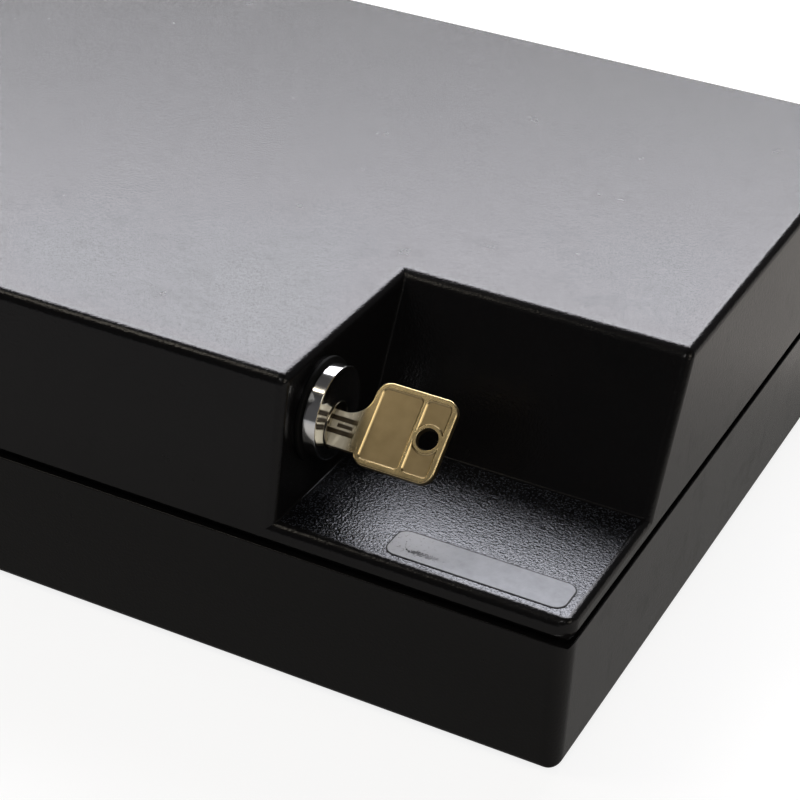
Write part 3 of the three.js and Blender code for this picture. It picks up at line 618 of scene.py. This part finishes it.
def turned(profile, centre, segments=128, whole_ends=False):
    """Solid turned about a line along X. The profile's points are (radius, x).

    With whole_ends each flat end is one face, so that a bore off its centre leaves no slivers.
    """
    bm = bmesh.new()
    points = [bm.verts.new((x, centre.y, centre.z + radius)) for radius, x in profile]
    lines = [bm.edges.new(pair) for pair in zip(points, points[1:])]
    bmesh.ops.spin(
        bm, geom=points + lines, cent=centre, axis=(1, 0, 0), angle=2 * math.pi, steps=segments,
        use_merge=True)
    bmesh.ops.remove_doubles(bm, verts=bm.verts, dist=SAME_RING)
    if whole_ends:
        hubs = [vertex for vertex in bm.verts if (vertex.co.yz - centre.yz).length < TOUCHING]
        bmesh.ops.dissolve_verts(bm, verts=hubs)
    return solid(bm)


def quarter_round(radius, x, edge, steps=4):
    """Points of a rounded outer edge that ends on a face at x."""
    turns = [math.pi / 2 * step / steps for step in range(steps + 1)]
    return [(radius - edge + edge * math.cos(turn), x - edge + edge * math.sin(turn)) for turn in turns]


housing_low, housing_high = box_mm("lock_housing")
flange_radius = (housing_high.y - housing_low.y) / 2
lock_face = housing_high.x
flange_back = lock_face - FLANGE_THICKNESS
thread_end = flange_back - PLAIN_SHANK
threads = []
thread_x = housing_low.x + THREAD_START
while thread_x < thread_end:
    threads += [
        (THREAD_RADIUS - THREAD_DEPTH, thread_x), (THREAD_RADIUS, thread_x + THREAD_PITCH / 2)]
    thread_x += THREAD_PITCH
dish_width = flange_radius - FLANGE_LIP - DISH_FLAT_RADIUS
dish_slope = 2 * math.atan(DISH_DEPTH / dish_width)
dish_curve = dish_width / math.sin(dish_slope)
dish = []
for step in range(DISH_STEPS, -1, -1):
    dish_angle = dish_slope * step / DISH_STEPS
    dish.append((
        DISH_FLAT_RADIUS + dish_curve * math.sin(dish_angle),
        lock_face - DISH_DEPTH + dish_curve * (1 - math.cos(dish_angle))))
housing = turned(
    [(0.0, housing_low.x), (THREAD_RADIUS - HOUSING_CHAMFER, housing_low.x),
     *threads,
     (THREAD_RADIUS, thread_end), (THREAD_RADIUS, flange_back),
     (flange_radius - FLANGE_BACK_EDGE, flange_back), (flange_radius, flange_back + FLANGE_BACK_EDGE),
     *quarter_round(flange_radius, lock_face, FLANGE_EDGE),
     *dish,
     (0.0, lock_face - DISH_DEPTH)],
    lock_centre, whole_ends=True)
plug_centre = lock_centre - Vector((0, 0, PLUG_DROP))
bore_xs = (housing_low.x - REACH, lock_face + REACH)
bore_ends = [Vector((x, plug_centre.y, plug_centre.z)) for x in bore_xs]
carve(housing, drum(PLUG_BORE, *bore_ends, segments=96))
pin_xs = []
for number in range(1, 6):
    pin_low, pin_high = box_mm(f"driver_pin_{number}")
    pin_middle = (pin_low + pin_high) / 2
    pin_xs.append(pin_middle.x)
    carve(housing, drum(
        PIN_HOLE_RADIUS, (pin_middle.x, plug_centre.y, plug_centre.z),
        (pin_middle.x, pin_middle.y, pin_high.z + SPRING_ROOM), segments=24))
chrome = Finish("polished_chrome", Metallic=1.0)
chrome_wear = chrome.noise(0.8, detail=5.0, roughness=0.7)
chrome_turning = chrome.noise(4.0, stretch=(1.0, 0.04, 0.04))
chrome.feed(
    Base_Color=chrome.blend(chrome_wear, (0.80, 0.80, 0.785), (0.93, 0.93, 0.915)),
    Roughness=chrome_wear * 0.08 + chrome_turning * 0.08 + 0.03,
    Normal=chrome.relief(chrome_turning, 0.004),
)
fit(housing, "lock_cylinder", "lid", "chrome", chrome, "lock_housing")

collar_black = Finish("collar_black", Specular_IOR_Level=0.06)
collar_smear = collar_black.noise(0.6, detail=3.0)
collar_black.feed(
    Base_Color=collar_black.blend(collar_smear, (0.004, 0.004, 0.004), (0.008, 0.008, 0.008)),
    Roughness=collar_smear * 0.15 + 0.6,
)
collar_radius = (collar_high.y - collar_low.y) / 2
collar_bore = THREAD_RADIUS + CLEARANCE
collar = turned(
    [(collar_bore, collar_low.x), (collar_radius, collar_low.x),
     *quarter_round(collar_radius, collar_high.x, COLLAR_EDGE),
     (collar_bore, collar_high.x), (collar_bore, collar_low.x)],
    lock_centre)
fit(collar, "lock_collar_ring", "lid", "collar", collar_black, "lock_collar")
for node in ("lock_backing_plate", "lock_washer", "lock_nut"):
    dressed(node, f"{node}_piece", "lid", "steel", zinc, edge=0.3)

# Plug: the round core that turns with the key, set below the middle of the housing. Its face has a
# thin raised rim, and the keyway runs through it. A flat steel cam sits on its square tail.
PLUG_RADIUS = 6.9
PLUG_FACE_BACK = 0.1
PLUG_END_EDGE = 0.3
PLUG_FACE_EDGE = 0.25
PLUG_RIM = 0.35
PLUG_RIM_HEIGHT = 0.25
PLUG_RIM_SLOPE = 0.15
PLUG_HOLLOW_RADIUS = 5.0
PLUG_HOLLOW_DEPTH = 1.2
PLUG_HOLLOW_SLOPE = 0.4
PLUG_HOLLOW_EDGE = 0.1
TAIL_SQUARE = 8.0
TAIL_TURN = 63.0
TAIL_EDGE = 0.3
TAIL_SINK = 0.5
CAM_SCREW_HOLE = 2.3
KEY_TURN = 47.7
BLADE_TOP = 4.2
BLADE_BOTTOM = 6.2
BLADE_THICKNESS = 2.4
BLADE_INSIDE = 25.0
MILLING_WIDTH = 1.3
MILLING_DEPTH = 0.6
MILLING_SPREAD = 1.9
MILLING_SHIFT = 0.4
WARD_GAP = 0.2
WARD_ROOT = 0.5
WARDS_SET_BACK = 2.0
KEY_THICKNESS = 2.6


def turned_with_key(piece):
    """From upright about the plug's axis, with X along it, to the place and angle at rest."""
    turn = Matrix.Rotation(math.radians(-KEY_TURN), 4, "X")
    piece.data.transform(Matrix.Translation((0.0, plug_centre.y, plug_centre.z)) @ turn)
    return piece


def milling_levels(flank):
    """Heights of the two grooves on one flank of the blade, -1 or 1."""
    return [level + MILLING_SHIFT * (1 - flank) for level in (-MILLING_SPREAD, MILLING_SPREAD)]


plug_low = box_mm("lock_plug")[0]
plug_end = housing_low.x + CLEARANCE
plug_face = lock_face - PLUG_FACE_BACK
inside_rim = plug_face - PLUG_RIM_HEIGHT
hollow_floor = plug_face - PLUG_HOLLOW_DEPTH
plug = turned(
    [(0.0, plug_end), (PLUG_RADIUS - PLUG_END_EDGE, plug_end), (PLUG_RADIUS, plug_end + PLUG_END_EDGE),
     *quarter_round(PLUG_RADIUS, plug_face, PLUG_FACE_EDGE),
     (PLUG_RADIUS - PLUG_RIM, plug_face), (PLUG_RADIUS - PLUG_RIM - PLUG_RIM_SLOPE, inside_rim),
     (PLUG_HOLLOW_RADIUS + PLUG_HOLLOW_EDGE, inside_rim),
     (PLUG_HOLLOW_RADIUS, inside_rim - PLUG_HOLLOW_EDGE),
     (PLUG_HOLLOW_RADIUS - PLUG_HOLLOW_SLOPE, hollow_floor), (0.0, hollow_floor)],
    Vector((0.0, 0.0, 0.0)))
tail_half = TAIL_SQUARE / 2
tail = leaning_block(
    (plug_low.x, -tail_half, -tail_half), (plug_end + TAIL_SINK, tail_half, tail_half))
soften(tail, lambda middle, run, convex: TAIL_EDGE if middle.x < plug_end else 0.0, segments=2)
tail.data.transform(Matrix.Rotation(math.radians(TAIL_TURN), 4, "X"))
carve(plug, tail, "UNION")
keyway_half = BLADE_THICKNESS / 2 + CLEARANCE
blade_tip = lock_face - BLADE_INSIDE
carve(plug, leaning_block(
    (blade_tip - CLEARANCE, -keyway_half, -PLUG_RADIUS - REACH),
    (lock_face + REACH, keyway_half, BLADE_TOP + CLEARANCE)))
ward_half = MILLING_WIDTH / 2 - WARD_GAP
for flank in (-1, 1):
    ward_root = flank * (keyway_half + WARD_ROOT)
    ward_top = flank * (KEY_THICKNESS / 2 - MILLING_DEPTH + WARD_GAP)
    for level in milling_levels(flank):
        carve(plug, leaning_block(
            (blade_tip, min(ward_root, ward_top), level - ward_half),
            (plug_face - WARDS_SET_BACK, max(ward_root, ward_top), level + ward_half)), "UNION")
for x in pin_xs:
    carve(plug, drum(PIN_HOLE_RADIUS, (x, 0.0, 0.0), (x, 0.0, PLUG_RADIUS + REACH), segments=24))
cam_screw_end = box_mm("cam_screw")[1].x + CLEARANCE
carve(plug, drum(
    CAM_SCREW_HOLE, (plug_low.x - REACH, 0.0, 0.0), (cam_screw_end, 0.0, 0.0), segments=32))
plug_metal = Finish("plug_metal", Metallic=1.0)
plug_wear = plug_metal.noise(0.7, detail=4.0, roughness=0.6)
plug_metal.feed(
    Base_Color=plug_metal.blend(plug_wear, (0.30, 0.27, 0.21), (0.42, 0.38, 0.29)),
    Roughness=plug_wear * 0.1 + 0.12,
)
fit(turned_with_key(plug), "lock_plug_core", "plug", "chrome", plug_metal, "lock_plug")
for node in ("lock_cam", "cam_washer", "cam_screw"):
    dressed(node, f"{node}_piece", "plug", "steel", zinc)

# Pins: five brass key pins in the plug, and five steel driver pins with coil springs above them
# in the housing.
brass = Finish("worn_brass", Metallic=1.0)
brass_tarnish = brass.noise(0.35, detail=4.0, roughness=0.6)
brass_brushing = brass.noise(2.0, stretch=(0.1, 1.0, 1.0))
brass.feed(
    Base_Color=brass.blend(brass_tarnish, (0.52, 0.38, 0.17), (0.68, 0.53, 0.28)),
    Roughness=brass_tarnish * 0.12 + brass_brushing * 0.08 + 0.22,
    Normal=brass.relief(brass_brushing, 0.004),
)
for number in range(1, 6):
    dressed(f"key_pin_{number}", f"key_pin_{number}_piece", "plug", "brass", brass, edge=0.1)
    dressed(f"driver_pin_{number}", f"driver_pin_{number}_piece", "lid", "steel", zinc, edge=0.1)
    dressed(f"pin_spring_{number}", f"pin_spring_{number}_piece", "lid", "steel", zinc, edge=0.02)

# Key: stamped brass with a square bow. A rounded rim, a bar and an eyelet stand round the bare
# panels of the bow, and grooves are milled along the paler blade. It turns the plug.
BOW_WIDTH = 24.8
BOW_RISE = 3.45
BOW_NEAR = 7.6
BOW_CORNER_RADIUS = 4.0
BOW_RIM = 1.7
PANEL_DEPTH = 0.5
BAR_FROM_END = 9.9
BAR_WIDTH = 0.9
HOLE_FROM_END = 5.5
HOLE_RADIUS = 3.2
EYELET_WIDTH = 1.0
NECK_RADIUS = 6.4
SHOULDER_GAP = 0.7
MILLING_FROM_BOW = 1.5
RIM_RADIUS = 0.45
PANEL_SLOPE = 0.42
PANEL_EDGE = 0.12
PANEL_CORNER_RADIUS = 1.4
SHALLOWEST_CUT = 0.8
CUT_STEP = 0.4
CUT_FLAT = 1.0
CUT_MOUTH = 3.6
BLADE_SET_IN = 0.1
BLADE_POINT_ANGLE = 27.0
GROOVE_EDGE = 0.12
GROOVE_LIFT = 0.2
MIDDLE_GROOVE_RADIUS = 0.8
MIDDLE_GROOVE_LIFT = 0.35
MIDDLE_GROOVE_SHORT = 1.0
NECK_START = 0.2
NECK_STOP = 0.3
NECK_SIDE = 0.8

shoulder = lock_face + SHOULDER_GAP
bow_near = lock_face + BOW_NEAR
bow_far = box_mm("key")[1].x
bow_top = BOW_RISE + BOW_WIDTH / 2
bow_bottom = BOW_RISE - BOW_WIDTH / 2
key_face = KEY_THICKNESS / 2


def along_face(middle, run):
    """Whether an edge lies on one of the key's two faces."""
    return abs(abs(middle.z) - key_face) < TOUCHING and abs(run.z) < TOUCHING


def neck_fillet(middle, run, convex):
    return NECK_RADIUS if not convex and middle.y > 0 else 0.0


def outline_rounding(middle, run, convex):
    return RIM_RADIUS if along_face(middle, run) and middle.x > shoulder + TOUCHING else 0.0


def panel_floor(middle, run, convex):
    below_face = abs(middle.z) < key_face - PANEL_DEPTH / 2
    return PANEL_SLOPE if below_face and abs(run.z) < TOUCHING else 0.0


def panel_rim(middle, run, convex):
    return PANEL_EDGE if along_face(middle, run) and middle.x > bow_near else 0.0


def groove_edge(middle, run, convex):
    between_ends = shoulder + NECK_START < middle.x < bow_near - NECK_STOP
    on_neck = between_ends and abs(middle.y) < BLADE_TOP - NECK_SIDE
    return GROOVE_EDGE if along_face(middle, run) and on_neck else 0.0


key = leaning_block((bow_near, bow_bottom, -key_face), (bow_far, bow_top, key_face))
soften(key, uprights(BOW_CORNER_RADIUS), segments=10)
carve(key, leaning_block(
    (shoulder, -BLADE_BOTTOM, -key_face), (bow_near + BOW_CORNER_RADIUS, BLADE_TOP, key_face)), "UNION")
soften(key, neck_fillet, segments=10)
soften(key, outline_rounding, segments=4)
hole_x = bow_far - HOLE_FROM_END
bar_x = bow_far - BAR_FROM_END
panels = ((bow_near + BOW_RIM, bar_x - BAR_WIDTH / 2), (bar_x + BAR_WIDTH / 2, bow_far - BOW_RIM))
for flank in (-1, 1):
    panel_ends = sorted((flank * (key_face - PANEL_DEPTH), flank * (key_face + SINK)))
    eyelet_ends = [(hole_x, BOW_RISE, z) for z in (panel_ends[0] - SINK, panel_ends[1] + SINK)]
    for near, far in panels:
        panel = leaning_block(
            (near, bow_bottom + BOW_RIM, panel_ends[0]), (far, bow_top - BOW_RIM, panel_ends[1]))
        soften(panel, uprights(PANEL_CORNER_RADIUS))
        carve(panel, drum(HOLE_RADIUS + EYELET_WIDTH, *eyelet_ends))
        carve(key, soften(panel, panel_floor, segments=1))
carve(key, drum(HOLE_RADIUS, (hole_x, BOW_RISE, -REACH), (hole_x, BOW_RISE, REACH)))
soften(key, panel_rim, segments=2)

blade = leaning_block(
    (blade_tip, BLADE_SET_IN - BLADE_BOTTOM, -BLADE_THICKNESS / 2),
    (shoulder + SINK, BLADE_TOP - BLADE_SET_IN, BLADE_THICKNESS / 2))
point = leaning_block((-2 * REACH, -3 * REACH, -REACH), (0.0, 3 * REACH, REACH))
point_slope = Matrix.Rotation(math.radians(BLADE_POINT_ANGLE), 4, "Z")
point.data.transform(Matrix.Translation((blade_tip, 0.0, 0.0)) @ point_slope)
carve(blade, point)
for number, x in enumerate(pin_xs):
    cut_floor = BLADE_TOP - SHALLOWEST_CUT - CUT_STEP * ((2 * number) % 3)
    rise = BLADE_TOP + SINK - cut_floor
    flare = (CUT_MOUTH - CUT_FLAT) / 2 / (BLADE_TOP - cut_floor)
    half_mouth = CUT_FLAT / 2 + flare * rise
    cut = leaning_block(
        (x - half_mouth, -REACH, cut_floor), (x + half_mouth, REACH, cut_floor + rise),
        (flare, 0.0, 0.0), downwards=True)
    cut.data.transform(Matrix.Rotation(math.radians(-90.0), 4, "X"))
    carve(blade, cut)
carve(key, blade, "UNION")
groove_end = bow_near - MILLING_FROM_BOW
for flank in (-1, 1):
    height = flank * (key_face + GROOVE_LIFT)
    for level in milling_levels(flank):
        ends = [(x, level, height) for x in (blade_tip - REACH, groove_end)]
        carve(key, drum(MILLING_DEPTH + GROOVE_LIFT, *ends, segments=20))
    level = sum(milling_levels(flank)) / 2
    height = flank * (key_face + MIDDLE_GROOVE_LIFT)
    ends = [(x, level, height) for x in (shoulder - CLEARANCE, groove_end - MIDDLE_GROOVE_SHORT)]
    carve(key, drum(MIDDLE_GROOVE_RADIUS, *ends, segments=20))
soften(key, groove_edge, segments=2)
key.data.transform(Matrix.Rotation(math.radians(90.0), 4, "X"))
key_brass = Finish("key_brass", Metallic=1.0)
key_brass.place = key_brass.node("ShaderNodeMapping", {"vector_type": "TEXTURE"}, {
    "Vector": key_brass.place, "Location": plug_centre * Vector((0, 1, 1)),
    "Rotation": (math.radians(90.0 - KEY_TURN), 0.0, 0.0)})
depth = key_face - key_brass.past(2, 0.0, 0.0)
tarnish = key_brass.ramp(depth, 0.12, 0.36)
key_wear = key_brass.noise(0.3, detail=3.0, roughness=0.5)
key_brushing = key_brass.noise(1.8, detail=1.0, stretch=(1.0, 0.12, 0.12))
at_blade = 1.0 - key_brass.ramp(key_brass.along(0), bow_near - 3.5, bow_near - 0.5)
# The near-black colour in the blade's grooves is painted shade; the paler blade colour elsewhere is the
# metal's own.
groove_shade_mask = key_brass.ramp(depth, 0.1, 0.34)
raised = key_brass.blend(key_wear, (0.54, 0.42, 0.22), (0.64, 0.51, 0.28))
sunken = key_brass.blend(key_wear, (0.29, 0.22, 0.115), (0.40, 0.31, 0.17))
blade_raised = key_brass.blend(key_wear, (0.84, 0.77, 0.60), (0.95, 0.89, 0.72))
painted_groove_shade = key_brass.blend(key_wear, (0.05, 0.037, 0.022), (0.10, 0.076, 0.046))
bow_colour = key_brass.blend(tarnish, raised, sunken)
blade_and_groove_shade = key_brass.blend(groove_shade_mask, blade_raised, painted_groove_shade)
key_brass.feed(
    Base_Color=key_brass.blend(at_blade, bow_colour, blade_and_groove_shade),
    Metallic=1.0 - at_blade * 0.8,
    Roughness=key_wear * 0.08 + key_brushing * 0.04 + tarnish * 0.08 + 0.2,
    Normal=key_brass.relief(key_brushing, 0.002),
)
fit(turned_with_key(key), "brass_key", "key", "brass", key_brass, "key")

# Studio: the case stands on a plain pale floor under soft light. A wide window of light behind and
# to the left gives the lid its even sheen, and dark card round the other sides keeps the walls
# black. The camera looks down on the lock corner.
FLOOR_HALF = 4.0
FLOOR_FADE = (-900.0, 100.0)
FLOOR_GLOW = 0.85
MIRRORED_SHARE = 0.22
SKY_LIGHT = 0.35
CARD_DISTANCE = 1.5
CARD_FOOT = 0.02
CARD_HEIGHT = 1.9
CARD_START = -80.0
CARD_SWEEP = 270.0
ROOF_SHIFT = 0.3

floor_mesh = bmesh.new()
bmesh.ops.create_grid(floor_mesh, x_segments=1, y_segments=1, size=FLOOR_HALF)
floor = solid(floor_mesh, "floor")
floor_finish = Finish("pale_floor")
light_path = "ShaderNodeLightPath"
mirrored = floor_finish.node(light_path, output="Is Glossy Ray")
seen = floor_finish.node(light_path, output="Is Camera Ray") + floor_finish.node(
    light_path, output="Is Transmission Ray") + mirrored * MIRRORED_SHARE
pale = floor_finish.node("ShaderNodeEmission", {}, {"Color": (1.0, 1.0, 1.0), "Strength": FLOOR_GLOW})
shaded = floor_finish.node("ShaderNodeBsdfDiffuse", {}, {"Color": (0.3, 0.3, 0.3)})
white = floor_finish.node("ShaderNodeAddShader", {}, {0: pale, 1: shaded})
towards_rear = floor_finish.ramp(floor_finish.along(1), *FLOOR_FADE)
floor_finish.feed(
    Base_Color=floor_finish.blend(towards_rear, (0.30, 0.305, 0.33), (0.34, 0.305, 0.255)),
    Roughness=0.9,
)
matt = Value(floor_finish, floor_finish.shader.outputs["BSDF"])
paper_floor = floor_finish.node("ShaderNodeMixShader", {}, {0: seen, 1: matt, 2: white})
floor_finish.join(paper_floor, floor_finish.tree.nodes["Material Output"].inputs["Surface"])
floor.data.materials.append(floor_finish.material)

world = bpy.data.worlds.new("studio")
bpy.context.scene.world = world
world.use_nodes = True
sky = Nodes(world.node_tree)
seen_sky = sky.node(light_path, output="Is Camera Ray") | sky.node(
    light_path, output="Is Glossy Ray") | sky.node(light_path, output="Is Transmission Ray")
background = world.node_tree.nodes["Background"]
sky.join((1.0, 1.0, 1.0), background.inputs["Color"])
sky.join(SKY_LIGHT + (1.0 - SKY_LIGHT) * seen_sky, background.inputs["Strength"])


def window(name, place, target, colour, width, height, watts):
    """Soft lamp that lights the case and can't be seen itself."""
    light = bpy.data.lights.new(name, "AREA")
    light.color = colour
    light.shape = "RECTANGLE"
    light.size = width
    light.size_y = height
    light.energy = watts
    lamp = bpy.data.objects.new(name, light)
    lamp.location = place
    lamp.rotation_euler = (Vector(target) - Vector(place)).to_track_quat("-Z", "Y").to_euler()
    lamp.visible_camera = False
    bpy.context.scene.collection.objects.link(lamp)


def towards(azimuth, elevation, distance):
    """A place seen from the case. Azimuth 0 is straight behind it and -90 on its left."""
    turn, rise = math.radians(azimuth), math.radians(elevation)
    level = distance * math.cos(rise)
    return Vector((level * math.sin(turn), level * math.cos(turn), distance * math.sin(rise)))


cool = (0.94, 0.935, 1.0)
neutral = (1.0, 0.98, 0.95)
warm = (1.0, 0.92, 0.78)
case_middle = (0.0, 0.0, 0.08)
lock_corner = (0.1, -0.1, 0.08)
key_place = (0.08, -0.11, 0.08)
window("low_window", towards(-28, 14.5, 1.8), case_middle, cool, width=2.9, height=0.7, watts=3.2)
window("high_window", towards(-27, 42.0, 1.8), case_middle, cool, width=2.0, height=0.82, watts=48.0)
window("side_window", towards(99, 27, 1.4), lock_corner, warm, width=0.45, height=0.45, watts=2.1)
window("front_fill", towards(160, 50, 1.5), lock_corner, neutral, width=0.5, height=0.5, watts=2.6)
window("small_lamp", towards(-127, 57.5, 1.2), key_place, warm, width=0.3, height=0.3, watts=1.25)
card = bmesh.new()
card_place = towards(CARD_START, 0, CARD_DISTANCE)
card_ends = [card.verts.new(card_place + Vector((0.0, 0.0, z))) for z in (CARD_FOOT, CARD_HEIGHT)]
upright = card.edges.new(card_ends)
bmesh.ops.spin(
    card, geom=[*card_ends, upright], cent=(0, 0, 0), axis=(0, 0, 1),
    angle=math.radians(CARD_SWEEP), steps=32)
roof = bmesh.new()
bmesh.ops.create_grid(roof, x_segments=1, y_segments=1, size=CARD_DISTANCE)
bmesh.ops.translate(roof, vec=(0.0, -ROOF_SHIFT, CARD_HEIGHT), verts=roof.verts)
dark = Finish("dark_card", Base_Color=(0.08, 0.08, 0.08), Roughness=0.9)
for screen in (solid(card, "front_card"), solid(roof, "roof_card")):
    screen.data.materials.append(dark.material)
    screen.visible_camera = False

camera_data = bpy.data.cameras.new("camera")
camera_data.sensor_width = 36.0
camera_data.lens = 99.38
camera = bpy.data.objects.new("camera", camera_data)
camera.location = (0.31807, -0.56762, 0.39328)
camera.rotation_euler = [math.radians(angle) for angle in (58.8166, -2.7423, 26.9226)]
bpy.context.scene.collection.objects.link(camera)
bpy.context.scene.camera = camera
bpy.context.scene.view_settings.view_transform = "Standard"
